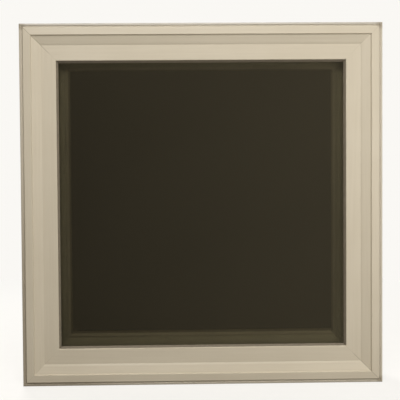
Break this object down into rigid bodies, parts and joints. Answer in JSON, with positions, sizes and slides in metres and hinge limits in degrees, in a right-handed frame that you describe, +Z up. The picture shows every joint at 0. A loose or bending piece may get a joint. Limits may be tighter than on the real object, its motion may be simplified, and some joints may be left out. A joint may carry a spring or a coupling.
{
  "type": "picture window",
  "caption": "Square fixed picture window: mitred almond vinyl frame with a stepped, bevelled face round a dark double-glazed pane.",
  "frame": {"origin": "middle of the flat underside of the sill, half way through the frame's depth", "axes": "+Z up, +X to the right as seen from outdoors, +Y from outdoors to the room"},
  "size_m": [0.75, 0.0826, 0.75],
  "materials": {
    "vinyl": "satin",
    "seal": "matt",
    "clear_glass": "smooth",
    "tinted_glass": "smooth",
    "spacer": "satin",
    "block": "matt"
  },
  "bodies": {
    "root": {"frame_head": "vinyl", "frame_sill": "vinyl", "left_jamb": "vinyl", "right_jamb": "vinyl", "sash_top_rail": "vinyl", "sash_bottom_rail": "vinyl", "sash_left_stile": "vinyl", "sash_right_stile": "vinyl", "outdoor_seal_top": "seal", "spacer_top": "spacer", "glazing_bead_top": "vinyl", "bead_seal_top": "seal", "outdoor_seal_bottom": "seal", "spacer_bottom": "spacer", "glazing_bead_bottom": "vinyl", "bead_seal_bottom": "seal", "outdoor_seal_left": "seal", "spacer_left": "spacer", "glazing_bead_left": "vinyl", "bead_seal_left": "seal", "outdoor_seal_right": "seal", "spacer_right": "spacer", "glazing_bead_right": "vinyl", "bead_seal_right": "seal", "outer_pane": "clear_glass", "inner_pane": "tinted_glass", "left_setting_block": "block", "right_setting_block": "block"}
  },
  "joints": []
}
